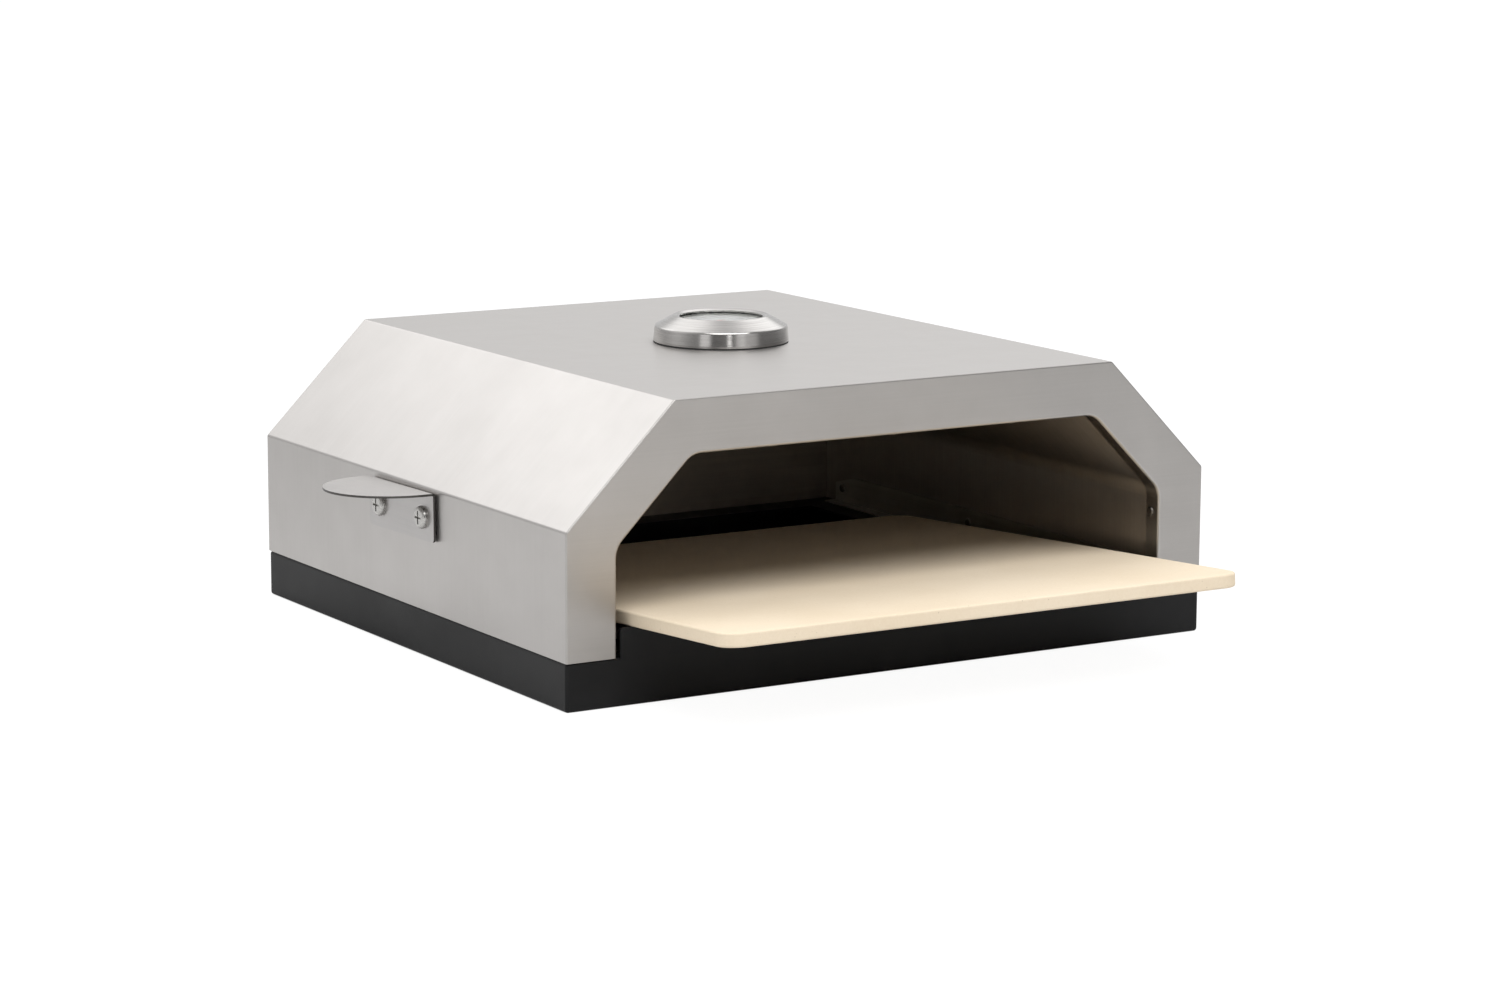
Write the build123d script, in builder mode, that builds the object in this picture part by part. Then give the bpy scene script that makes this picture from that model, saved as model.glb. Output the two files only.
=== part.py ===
from build123d import *
from math import atan2, cos, degrees, radians, sin, sqrt, tan
import os

# A barbecue-top pizza oven: a double-skinned steel hood with 45-degree shoulders on a low
# steel base, one ceramic baking stone that slides out over the base's lip, a D-shaped
# handle on each side and a dial thermometer in the top.
# Millimetres. +X is to the oven's right as seen from the front, +Y to its back, +Z up.
# The origin is under the middle of the whole object, with the stone drawn out.

# ---------------------------------------------------------------- driving dimensions

# Hood, outer skin
hood_width = 400.0
hood_depth = 353.2
hood_height = 155.4  # from the base's underside to the top
shoulder = 62.8  # run and rise of the 45-degree shoulder
hood_sheet = 1.0
bend_radius = 2.0
edge_radius = 0.8
tight_bend = 0.3  # smallest inside radius of a bend
rim_flange = 10.0  # flange behind the edge of the front and rear panels
foot_flange = 12.0  # flange under each side of the hood

# Mouth in the front panel
mouth_leg = 29.4
mouth_header = 28.6
mouth_shoulder = 44.7
mouth_radius = 13.0
mouth_flange = 11.0
mouth_edge = 1.5

# Cavity
liner_sheet = 0.8
liner_overlap = 8.0  # how far the liner laps round the mouth's flange
liner_back_gap = 4.0  # from the liner's rear edge to the outside of the rear panel
cavity_back_gap = 14.6  # from the cavity's rear wall to the outside of the rear panel
back_flange = 9.0
rail_height = 16.5
rail_foot = 9.0
rail_end_gap = 12.0  # from the rail's rear end to the cavity's rear wall
rail_slope_run = 20.0
rail_slope_drop = 5.0

# Base
base_height = 25.5
base_sheet = 1.5
base_side_inset = 0.1  # the hood stands this far proud of the base
base_back_inset = 1.0
base_front_inset = 0.3
base_corner = 1.8
base_bend = 1.8
bottom_flange = 14.0
shelf_reach = 23.0  # how far the shelf reaches in past the mouth's side
shelf_front = 26.0
shelf_back = 20.0  # how far the shelf reaches in past the cavity's rear wall
lip_height = 15.2  # above the shelf
lip_side_gap = 2.1
lip_corner = 1.5

# Baking stone
stone_width = 315.0
stone_length = 331.0
stone_thickness = 7.5
stone_corner = 12.0
stone_edge = 1.2
stone_pull = 104.0  # how far it is drawn out of the cavity
stone_yaw = -0.81
stone_shift = -4.1  # sideways, to the left

# Handles
handle_length = 76.0
handle_reach = 43.4  # from the plate's back to the tab's rim
handle_sheet = 1.2
handle_below_bend = 1.9  # from the shoulder's lower bend down to the tab's top
handle_tilt = 1.0  # degrees, its rear end the lower
handle_drop = 26.7
handle_y = 2.0
handle_corner = 2.5
handle_bend = 1.8
handle_inner_bend = 0.6
handle_screw_pitch = 50.0
handle_screw_drop = 14.4  # below the tab's top
handle_washer = 1.2
handle_washer_radius = 6.0

# Fasteners
screw_radius = 2.95
screw_head_radius = 6.2
screw_head_height = 2.8
screw_length = 10.5
nut_flats = 10.0
nut_height = 5.0
small_screw_radius = 1.95
small_screw_head_radius = 4.0
small_screw_head_height = 2.2
small_screw_length = 8.0
small_nut_flats = 7.0
small_nut_height = 3.2
recess_width = 0.19  # share of the head's radius
recess_span = 1.15  # share of the head's radius
recess_depth = 0.45  # share of the head's height
hood_screw_pitch = 120.0
rivet_radius = 1.6
rivet_head_radius = 2.6
rivet_head_height = 1.1
rivet_tail_radius = 2.3
rivet_tail_length = 2.0

# Thermometer
thermometer_x = -5.4
thermometer_y = -4.0
gasket_thickness = 0.8
bezel_radius = 37.7
bezel_foot = 1.2
bezel_band_radius = 37.0
bezel_band_top = 9.2
bezel_rim_radius = 26.0
bezel_height = 15.2
bezel_window_radius = 23.2
bezel_roll = 1.0  # from the rim down to the window's edge
bezel_rim_round = 1.4
bezel_wall = 1.0
bezel_crease = 1.6
lens_thickness = 1.3
lens_lap = 1.2  # how far the lens reaches under the window's edge
case_wall = 1.0
case_floor = 1.0
dial_thickness = 0.4
dial_depth = 3.4  # from the lens's top down to the dial's face
dial_step = 1.2  # ledge in the case that carries the dial
needle_length = 18.5
needle_tail = 6.0
needle_width = 1.6
needle_tip = 0.5
needle_thickness = 0.4
needle_hub_radius = 2.6
needle_hub_height = 0.9
staff_radius = 0.7
stud_radius = 5.0
stud_length = 9.0
mounting_washer_radius = 9.0
mounting_washer_thickness = 1.2
mounting_nut_flats = 16.0
mounting_nut_height = 4.5
stem_radius = 3.0
stem_wall = 0.5
stem_depth = 51.0  # from the hood's top down to the stem's tip
coil_radius = 1.6
coil_wire = 0.25
coil_pitch = 2.4
coil_turns = 9

# Clearances
lap_gap = 0.05  # between lapped sheets, and round shanks in their holes
free_gap = 0.3  # round what turns or passes through freely
rest_gap = 0.2  # under the stone

# ---------------------------------------------------------------- derived values

mouth_half = hood_width / 2 - mouth_leg
mouth_top = hood_height - mouth_header
front_y = -hood_depth / 2
back_y = hood_depth / 2
cavity_back_y = back_y - cavity_back_gap
liner_front_y = front_y + mouth_flange - liner_overlap
liner_back_y = back_y - liner_back_gap
liner_half = mouth_half + hood_sheet + lap_gap

base_half = hood_width / 2 - base_side_inset
base_front_y = front_y + base_front_inset
base_back_y = back_y - base_back_inset
lip_back_y = base_front_y + base_sheet

# The stone leans on the lip in front and lies on the shelf behind.
stone_stored_y = (lip_back_y + cavity_back_y) / 2
stone_y = stone_stored_y - stone_pull
yaw = radians(stone_yaw)
stone_reach = stone_length / 2 * cos(yaw) + stone_width / 2 * abs(sin(yaw))
stone_tail_y = stone_y + stone_reach
stone_tilt = atan2(lip_height, stone_tail_y - lip_back_y)
stone_z = base_height + rest_gap + stone_reach * tan(stone_tilt)

# The hood's middle lies behind the origin, because the stone stands out in front.
object_front_y = stone_y - stone_reach * cos(stone_tilt)
oven_y = -(object_front_y + back_y) / 2


def section(y):
    """Upright plane across the oven, y behind the hood's middle; it faces the front."""
    return Plane.XZ.offset(-(oven_y + y))


def level(z):
    """Level plane over the hood's middle."""
    return Plane((0, oven_y, z))


def underside(z):
    """Level plane over the hood's middle, facing down; its own X runs to the left."""
    return Plane((0, oven_y, z), x_dir=(-1, 0, 0), z_dir=(0, 0, -1))


def left_side(x):
    """Upright plane x to the left of the middle, facing left; its own X runs to the front."""
    return Plane((-x, oven_y, 0), x_dir=(0, -1, 0), z_dir=(-1, 0, 0))


def on_wall(x, z, lean, y):
    """Plane on a cavity wall at depth y, facing outwards; lean is 0 on the crown, 90 at the right."""
    outwards = (sin(radians(lean)), 0, cos(radians(lean)))
    return Plane((x, oven_y + y, z), x_dir=(0, 1, 0), z_dir=outwards)


def arch(half, top, run, radius, grow=0.0):
    """Outline with upright sides, 45-degree shoulders and a level top, grown evenly by grow."""
    half += grow
    top += grow
    run += grow * (2 - sqrt(2))
    with BuildSketch() as outline:
        with BuildLine():
            Polyline(
                (-half, base_height),
                (-half, top - run),
                (run - half, top),
                (half - run, top),
                (half, top - run),
                (half, base_height),
                close=True,
            )
        make_face()
        bends = outline.vertices().group_by(Axis.Y)[1:]
        fillet(bends, max(radius + grow, tight_bend))
    return outline.sketch


def hood_arch(grow=0.0):
    return arch(hood_width / 2, hood_height, shoulder, bend_radius, grow)


def mouth_arch(grow=0.0):
    return arch(mouth_half, mouth_top, mouth_shoulder, mouth_radius, grow)


# ---------------------------------------------------------------- fasteners

def pan_screw(radius, length, head_radius, head_height):
    """Cross-recessed pan-head screw along Z, with the underside of its head at 0."""
    with BuildPart() as screw:
        with BuildSketch(Plane.XY):
            Circle(head_radius)
        extrude(amount=head_height)
        fillet(screw.edges().sort_by(Axis.Z)[-1], head_height * 0.75)
        with BuildSketch(Plane.XY.offset(head_height)):
            Rectangle(head_radius * recess_span, head_radius * recess_width)
            Rectangle(head_radius * recess_width, head_radius * recess_span)
        extrude(amount=-head_height * recess_depth, mode=Mode.SUBTRACT)
        with BuildSketch(Plane.XY):
            Circle(radius)
        extrude(amount=-length)
        chamfer(screw.edges().sort_by(Axis.Z)[0], radius / 3)
    return screw.part


def hex_nut(radius, flats, height):
    """Hexagon nut along Z, standing on 0."""
    with BuildPart() as nut:
        with BuildSketch():
            RegularPolygon(flats / 2, 6, major_radius=False)
            Circle(radius, mode=Mode.SUBTRACT)
        extrude(amount=height)
    return nut.part


def ring(outer, inner, height):
    """Flat ring along Z, standing on 0."""
    with BuildPart() as flat_ring:
        with BuildSketch():
            Circle(outer)
            Circle(inner, mode=Mode.SUBTRACT)
        extrude(amount=height)
    return flat_ring.part


def rivet(grip):
    """Blind rivet along Z: domed head below 0, body through the grip, set tail above it."""
    with BuildPart() as blind:
        with BuildSketch(Plane.XY):
            Circle(rivet_head_radius)
        extrude(amount=-rivet_head_height)
        fillet(blind.edges().sort_by(Axis.Z)[0], rivet_head_height * 0.8)
        with BuildSketch(Plane.XY):
            Circle(rivet_radius)
        extrude(amount=grip + rivet_tail_length)
        with BuildSketch(Plane.XY.offset(grip)):
            Circle(rivet_tail_radius)
        extrude(amount=rivet_tail_length)
        fillet(blind.edges().sort_by(Axis.Z)[-1], rivet_tail_radius / 3)
    return blind.part


rivet_hole = rivet_radius + lap_gap
screw_hole = screw_radius + lap_gap
small_screw_hole = small_screw_radius + lap_gap

# Rivets that join the mouth's flange to the liner, on both legs and the header
flange_rivet_y = front_y + mouth_flange - liner_overlap / 2
low_rivet_height = 43.0
high_rivet_height = 69.0
header_rivet_pitch = 75.0
flange_stations = [on_wall(side * mouth_half, high_rivet_height, side * 90, flange_rivet_y)
                   for side in (-1, 1)]
flange_stations += [on_wall(column * header_rivet_pitch, mouth_top, 0, flange_rivet_y)
                    for column in (-1, 0, 1)]
flange_grip = hood_sheet + lap_gap + liner_sheet

# Rivets that join the rear wall's flange to the liner
back_rivet_y = cavity_back_y + back_flange - rivet_head_radius - 1.5 * liner_sheet
back_wall_inner = hood_sheet - liner_sheet
back_stations = [on_wall(side * (mouth_half + back_wall_inner), z, side * 90, back_rivet_y)
                 for side in (-1, 1) for z in (low_rivet_height, high_rivet_height)]
back_stations += [on_wall(column * header_rivet_pitch, mouth_top + back_wall_inner, 0, back_rivet_y)
                  for column in (-1, 0, 1)]
lap_grip = 2 * liner_sheet + lap_gap

# Rivets along the rails: through the upstand into the liner, and through the foot into the shelf
rail_pitch = 136.0
rail_middle_y = 6.0
rail_rivet_height = 8.8
rail_half = liner_half - lap_gap
rail_rows = [rail_middle_y + step * rail_pitch for step in (-1, 0, 1)]
rail_stations = [on_wall(side * (rail_half - liner_sheet), base_height + rail_rivet_height,
                         side * 90, y) for side in (-1, 1) for y in rail_rows]
foot_rivet_x = rail_half - rail_foot + rivet_head_radius + lap_gap
foot_rows = [rail_middle_y + step * rail_pitch / 2 for step in (-1, 1)]
foot_spots = [(side * foot_rivet_x, y) for side in (-1, 1) for y in foot_rows]
foot_grip = liner_sheet + base_sheet

# Screws from below through the shelf into the hood's foot flanges
hood_screw_x = hood_width / 2 - hood_sheet - foot_flange / 2
hood_screw_spots = [(side * hood_screw_x, step * hood_screw_pitch)
                    for side in (-1, 1) for step in (-1, 0, 1)]

# The handle's place: a level handle at the oven's middle, moved and tilted about its tab's top
handle_top = hood_height - shoulder - handle_below_bend
handle_tab = Location((0, oven_y + handle_y, handle_top), (-handle_tilt, 0, 0))
handle_place = handle_tab * Location((0, -oven_y, 0))


def on_handle(plane):
    """The plane moved and tilted with the handle."""
    return Plane(handle_place * plane.location)


handle_screw_spots = [(step * handle_screw_pitch / 2, -handle_screw_drop) for step in (-1, 1)]

stem_spot = (thermometer_x, thermometer_y)

# ---------------------------------------------------------------- base

os.makedirs("parts", exist_ok=True)

base_depth = base_back_y - base_front_y
base_middle_y = (base_front_y + base_back_y) / 2
shelf_half = mouth_half - shelf_reach
shelf_front_y = front_y + shelf_front
shelf_back_y = cavity_back_y - shelf_back

with BuildPart() as base_frame:
    with BuildSketch(level(0)):
        with Locations((0, base_middle_y)):
            RectangleRounded(2 * base_half, base_depth, base_corner)
    extrude(amount=base_height)
    fillet(base_frame.faces().sort_by(Axis.Z)[-1].edges(), base_bend)
    fillet(base_frame.faces().sort_by(Axis.Z)[0].edges(), base_bend)
    with BuildSketch(level(base_sheet)):
        with Locations((0, base_middle_y)):
            RectangleRounded(2 * (base_half - base_sheet), base_depth - 2 * base_sheet,
                             base_corner - base_sheet)
    extrude(amount=base_height - 2 * base_sheet, mode=Mode.SUBTRACT)
    with BuildSketch(level(base_height)):
        with Locations((0, (shelf_front_y + shelf_back_y) / 2)):
            Rectangle(2 * shelf_half, shelf_back_y - shelf_front_y)
    extrude(amount=-base_sheet, mode=Mode.SUBTRACT)
    with BuildSketch(level(0)):
        with Locations((0, base_middle_y)):
            Rectangle(2 * (base_half - bottom_flange), base_depth - 2 * bottom_flange)
    extrude(amount=base_sheet, mode=Mode.SUBTRACT)
    # Lip across the mouth, a continuation of the front wall
    with BuildSketch(section(lip_back_y)) as lip_face:
        with Locations((0, base_height - base_sheet)):
            Rectangle(2 * (mouth_half - lip_side_gap), lip_height + base_sheet,
                      align=(Align.CENTER, Align.MIN))
        fillet(lip_face.vertices().group_by(Axis.Z)[-1], lip_corner)
    extrude(amount=base_sheet)
    with BuildSketch(level(base_height)):
        with Locations(*hood_screw_spots):
            Circle(small_screw_hole)
        with Locations(*foot_spots):
            Circle(rivet_hole)
    extrude(amount=-base_sheet, mode=Mode.SUBTRACT)
base_frame.part.label = "base_frame"
export_step(base_frame.part, "parts/base_frame.step")

# ---------------------------------------------------------------- hood

skin_depth = hood_depth - 2 * hood_sheet
foot_length = skin_depth - 2 * (rim_flange + foot_flange)

with BuildPart() as hood_wrapper:
    with BuildSketch(section(skin_depth / 2)):
        add(hood_arch())
        add(hood_arch(-hood_sheet), mode=Mode.SUBTRACT)
    extrude(amount=skin_depth)
    with BuildSketch(level(base_height)):
        with Locations((-hood_screw_x, 0), (hood_screw_x, 0)):
            Rectangle(foot_flange, foot_length)
        with Locations(*hood_screw_spots):
            Circle(small_screw_hole, mode=Mode.SUBTRACT)
    extrude(amount=hood_sheet)
    with BuildSketch(level(hood_height)):
        with Locations(stem_spot):
            Circle(stud_radius + lap_gap)
    extrude(amount=-hood_sheet, mode=Mode.SUBTRACT)
    with BuildSketch(on_handle(left_side(hood_width / 2))):
        with Locations(*handle_screw_spots):
            Circle(screw_hole)
    extrude(amount=-hood_width, mode=Mode.SUBTRACT)
hood_wrapper.part.label = "hood_wrapper"
export_step(hood_wrapper.part, "parts/hood_wrapper.step")

rim_outer = hood_arch(-hood_sheet - lap_gap)
rim_inner = hood_arch(-2 * hood_sheet - lap_gap)


def outer_edges(panel, end):
    """Edges of the panel's outermost face at that end, without those that meet the base."""
    face = panel.faces().sort_by(Axis.Y)[end]
    return [edge for edge in face.edges() if edge.center().Z > base_height + hood_sheet]


with BuildPart() as front_panel:
    with BuildSketch(section(front_y + hood_sheet)):
        add(hood_arch())
    extrude(amount=hood_sheet)
    fillet(outer_edges(front_panel, 0), edge_radius)
    with BuildSketch(section(front_y + rim_flange)):
        add(rim_outer)
        add(rim_inner, mode=Mode.SUBTRACT)
    extrude(amount=rim_flange - hood_sheet)
    with BuildSketch(section(front_y + mouth_flange)):
        add(mouth_arch(hood_sheet))
    extrude(amount=mouth_flange - hood_sheet)
    with BuildSketch(section(front_y + mouth_flange)):
        add(mouth_arch())
    extrude(amount=mouth_flange, mode=Mode.SUBTRACT)
    mouth_edges = [edge for edge in outer_edges(front_panel, 0)
                   if abs(edge.center().X) < mouth_half + lap_gap
                   and edge.center().Z < mouth_top + lap_gap]
    fillet(mouth_edges, mouth_edge)
    with BuildSketch(*flange_stations):
        Circle(rivet_hole)
    extrude(amount=flange_grip, mode=Mode.SUBTRACT)
front_panel.part.label = "front_panel"
export_step(front_panel.part, "parts/front_panel.step")

with BuildPart() as rear_panel:
    with BuildSketch(section(back_y)):
        add(hood_arch())
    extrude(amount=hood_sheet)
    fillet(outer_edges(rear_panel, -1), edge_radius)
    with BuildSketch(section(back_y - hood_sheet)):
        add(rim_outer)
        add(rim_inner, mode=Mode.SUBTRACT)
    extrude(amount=rim_flange - hood_sheet)
rear_panel.part.label = "rear_panel"
export_step(rear_panel.part, "parts/rear_panel.step")

# ---------------------------------------------------------------- cavity

with BuildPart() as oven_liner:
    with BuildSketch(section(liner_back_y)):
        add(mouth_arch(hood_sheet + lap_gap + liner_sheet))
        add(mouth_arch(hood_sheet + lap_gap), mode=Mode.SUBTRACT)
    extrude(amount=liner_back_y - liner_front_y)
    with BuildSketch(level(mouth_top + hood_sheet)):
        with Locations(stem_spot):
            Circle(stem_radius + free_gap)
    extrude(amount=2 * liner_sheet, mode=Mode.SUBTRACT)
    with BuildSketch(*flange_stations, *back_stations, *rail_stations):
        Circle(rivet_hole)
    extrude(amount=2 * flange_grip, mode=Mode.SUBTRACT)
oven_liner.part.label = "oven_liner"
export_step(oven_liner.part, "parts/oven_liner.step")

with BuildPart() as liner_rear_panel:
    with BuildSketch(section(cavity_back_y + liner_sheet)):
        add(mouth_arch(hood_sheet))
    extrude(amount=liner_sheet)
    with BuildSketch(section(cavity_back_y + back_flange)):
        add(mouth_arch(hood_sheet))
        add(mouth_arch(back_wall_inner), mode=Mode.SUBTRACT)
    extrude(amount=back_flange - liner_sheet)
    with BuildSketch(*back_stations):
        Circle(rivet_hole)
    extrude(amount=lap_grip, mode=Mode.SUBTRACT)
liner_rear_panel.part.label = "liner_rear_panel"
export_step(liner_rear_panel.part, "parts/liner_rear_panel.step")

rail_front_y = front_y + mouth_flange + free_gap
rail_back_y = cavity_back_y - rail_end_gap
rail_top = base_height + rail_height

with BuildPart() as left_rail:
    with BuildSketch(left_side(rail_half - liner_sheet)):
        with BuildLine():
            Polyline(
                (-rail_front_y, base_height),
                (-rail_front_y, rail_top),
                (rail_slope_run - rail_back_y, rail_top),
                (-rail_back_y, rail_top - rail_slope_drop),
                (-rail_back_y, base_height),
                close=True,
            )
        make_face()
    extrude(amount=liner_sheet)
    with BuildSketch(level(base_height)):
        with Locations((-rail_half, rail_front_y)):
            Rectangle(rail_foot, rail_back_y - rail_front_y, align=Align.MIN)
        with Locations(*foot_spots):
            Circle(rivet_hole, mode=Mode.SUBTRACT)
    extrude(amount=liner_sheet)
    with BuildSketch(*rail_stations):
        Circle(rivet_hole)
    extrude(amount=lap_grip, mode=Mode.SUBTRACT)
left_rail.part.label = "left_rail"
export_step(left_rail.part, "parts/left_rail.step")

with BuildPart() as right_rail:
    add(mirror(left_rail.part, about=Plane.YZ, mode=Mode.PRIVATE))
right_rail.part.label = "right_rail"
export_step(right_rail.part, "parts/right_rail.step")

flange_rivet = rivet(flange_grip)
lap_rivet = rivet(lap_grip)
foot_rivet = rivet(foot_grip)

with BuildPart() as flange_rivets:
    with Locations(*flange_stations):
        add(flange_rivet)
flange_rivets.part.label = "flange_rivets"
export_step(flange_rivets.part, "parts/flange_rivets.step")

with BuildPart() as rear_rivets:
    with Locations(*back_stations):
        add(lap_rivet)
rear_rivets.part.label = "rear_rivets"
export_step(rear_rivets.part, "parts/rear_rivets.step")

with BuildPart() as rail_rivets:
    with Locations(*rail_stations):
        add(lap_rivet)
rail_rivets.part.label = "rail_rivets"
export_step(rail_rivets.part, "parts/rail_rivets.step")

with BuildPart() as rail_foot_rivets:
    with Locations(underside(base_height + liner_sheet)):
        with Locations(*foot_spots):
            add(foot_rivet)
rail_foot_rivets.part.label = "rail_foot_rivets"
export_step(rail_foot_rivets.part, "parts/rail_foot_rivets.step")

# ---------------------------------------------------------------- hood screws and nuts

hood_screw = pan_screw(small_screw_radius, small_screw_length, small_screw_head_radius,
                       small_screw_head_height)
with BuildPart() as hood_screws:
    with Locations(underside(base_height - base_sheet)):
        with Locations(*hood_screw_spots):
            add(hood_screw)
hood_screws.part.label = "hood_screws"
export_step(hood_screws.part, "parts/hood_screws.step")

with BuildPart() as hood_nuts:
    with Locations(level(base_height + hood_sheet)):
        with Locations(*hood_screw_spots):
            add(hex_nut(small_screw_hole, small_nut_flats, small_nut_height))
hood_nuts.part.label = "hood_nuts"
export_step(hood_nuts.part, "parts/hood_nuts.step")

# ---------------------------------------------------------------- baking stone

stone_plane = Plane(Location((stone_shift, oven_y + stone_y, stone_z),
                             (-degrees(stone_tilt), 0, stone_yaw)))
with BuildPart() as baking_stone:
    with BuildSketch(stone_plane):
        RectangleRounded(stone_width, stone_length, stone_corner)
    extrude(amount=stone_thickness)
    rims = [edge for edge in baking_stone.edges()
            if abs(edge.tangent_at(0.5).dot(stone_plane.z_dir)) < 0.5]
    fillet(rims, stone_edge)
baking_stone.part.label = "baking_stone"
export_step(baking_stone.part, "parts/baking_stone.step")

# ---------------------------------------------------------------- handles

plate_back = hood_width / 2 + handle_washer
tab_radius = handle_length / 2
tab_centre_x = -(plate_back + handle_reach - tab_radius)

with BuildPart() as level_handle:
    with BuildSketch(left_side(plate_back)) as plate_face:
        Rectangle(handle_length, handle_drop, align=(Align.CENTER, Align.MAX))
        fillet(plate_face.vertices().group_by(Axis.Z)[0], handle_corner)
        with Locations(*handle_screw_spots):
            Circle(screw_hole, mode=Mode.SUBTRACT)
    extrude(amount=handle_sheet)
    with BuildSketch(level(0)):
        with BuildLine():
            Polyline(
                (tab_centre_x, tab_radius),
                (-plate_back, tab_radius),
                (-plate_back, -tab_radius),
                (tab_centre_x, -tab_radius),
            )
            ThreePointArc(
                (tab_centre_x, -tab_radius),
                (tab_centre_x - tab_radius, 0),
                (tab_centre_x, tab_radius),
            )
        make_face()
    extrude(amount=-handle_sheet)
    long_edges = level_handle.edges().filter_by(Axis.Y)
    outer_bend = long_edges.sort_by(Axis.Z)[-1]
    inner_bend = [edge for edge in long_edges
                  if abs(edge.center().Z + handle_sheet) < lap_gap
                  and abs(edge.center().X + plate_back + handle_sheet) < lap_gap]
    fillet(outer_bend, handle_bend)
    fillet(inner_bend, handle_inner_bend)

with BuildPart() as left_handle:
    with Locations(handle_place):
        add(level_handle.part)
left_handle.part.label = "left_handle"
export_step(left_handle.part, "parts/left_handle.step")

with BuildPart() as right_handle:
    add(mirror(left_handle.part, about=Plane.YZ, mode=Mode.PRIVATE))
right_handle.part.label = "right_handle"
export_step(right_handle.part, "parts/right_handle.step")

with BuildPart() as handle_screws:
    with Locations(on_handle(left_side(plate_back + handle_sheet))):
        with Locations(*handle_screw_spots):
            add(pan_screw(screw_radius, screw_length, screw_head_radius, screw_head_height))
    mirror(about=Plane.YZ)
handle_screws.part.label = "handle_screws"
export_step(handle_screws.part, "parts/handle_screws.step")

with BuildPart() as handle_washers:
    with Locations(on_handle(left_side(hood_width / 2))):
        with Locations(*handle_screw_spots):
            add(ring(handle_washer_radius, screw_hole, handle_washer))
    mirror(about=Plane.YZ)
handle_washers.part.label = "handle_washers"
export_step(handle_washers.part, "parts/handle_washers.step")

with BuildPart() as handle_nuts:
    with Locations(on_handle(left_side(hood_width / 2 - hood_sheet - nut_height))):
        with Locations(*handle_screw_spots):
            add(hex_nut(screw_hole, nut_flats, nut_height))
    mirror(about=Plane.YZ)
handle_nuts.part.label = "handle_nuts"
export_step(handle_nuts.part, "parts/handle_nuts.step")

# ---------------------------------------------------------------- thermometer

dial_centre = Plane((thermometer_x, oven_y + thermometer_y, hood_height))
dial_upright = Plane(dial_centre.origin, x_dir=(1, 0, 0), z_dir=(0, -1, 0))
dial_axis = Axis(dial_centre.origin, (0, 0, 1))

lens_top = bezel_height - bezel_roll - bezel_wall - free_gap
lens_bottom = lens_top - lens_thickness
lens_radius = bezel_window_radius + lens_lap
case_radius = lens_radius
case_bore = case_radius - case_wall
dial_top = lens_top - dial_depth
dial_bottom = dial_top - dial_thickness
dial_radius = case_bore - lap_gap
staff_hole = staff_radius + free_gap
stem_top = -stud_length
coil_top = stem_top - coil_pitch

with BuildPart() as thermometer_gasket:
    with BuildSketch(dial_centre):
        Circle(bezel_radius - lap_gap)
        Circle(stud_radius + lap_gap, mode=Mode.SUBTRACT)
    extrude(amount=gasket_thickness)
thermometer_gasket.part.label = "thermometer_gasket"
export_step(thermometer_gasket.part, "parts/thermometer_gasket.step")

with BuildPart() as thermometer_bezel:
    with BuildSketch(dial_upright):
        with BuildLine():
            Polyline(
                (bezel_radius, gasket_thickness),
                (bezel_radius, gasket_thickness + bezel_foot),
                (bezel_band_radius, bezel_band_top),
                (bezel_rim_radius, bezel_height),
                (bezel_window_radius, bezel_height - bezel_roll),
            )
            offset(amount=bezel_wall, side=Side.LEFT, kind=Kind.INTERSECTION)
        make_face()
    revolve(axis=dial_axis)
    circles = thermometer_bezel.edges().filter_by(GeomType.CIRCLE)
    crease = [edge for edge in circles if abs(edge.radius - bezel_band_radius) < lap_gap]
    rim = [edge for edge in circles if abs(edge.radius - bezel_rim_radius) < lap_gap]
    fillet(crease, bezel_crease)
    fillet(rim, bezel_rim_round)
thermometer_bezel.part.label = "thermometer_bezel"
export_step(thermometer_bezel.part, "parts/thermometer_bezel.step")

with BuildPart() as thermometer_case:
    with BuildSketch(dial_upright):
        with BuildLine():
            Polyline(
                (staff_hole, gasket_thickness + case_floor),
                (staff_hole, stem_top),
                (stud_radius, stem_top),
                (stud_radius, gasket_thickness),
                (case_radius, gasket_thickness),
                (case_radius, lens_bottom),
                (case_bore, lens_bottom),
                (case_bore, dial_bottom),
                (case_bore - dial_step, dial_bottom),
                (case_bore - dial_step, gasket_thickness + case_floor),
                close=True,
            )
        make_face()
    revolve(axis=dial_axis)
thermometer_case.part.label = "thermometer_case"
export_step(thermometer_case.part, "parts/thermometer_case.step")

with BuildPart() as dial_plate:
    with BuildSketch(dial_centre.offset(dial_bottom)):
        Circle(dial_radius)
        Circle(staff_hole, mode=Mode.SUBTRACT)
    extrude(amount=dial_thickness)
dial_plate.part.label = "dial_plate"
export_step(dial_plate.part, "parts/dial_plate.step")

with BuildPart() as glass_lens:
    with BuildSketch(dial_centre.offset(lens_bottom)):
        Circle(lens_radius)
    extrude(amount=lens_thickness)
glass_lens.part.label = "glass_lens"
export_step(glass_lens.part, "parts/glass_lens.step")

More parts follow.
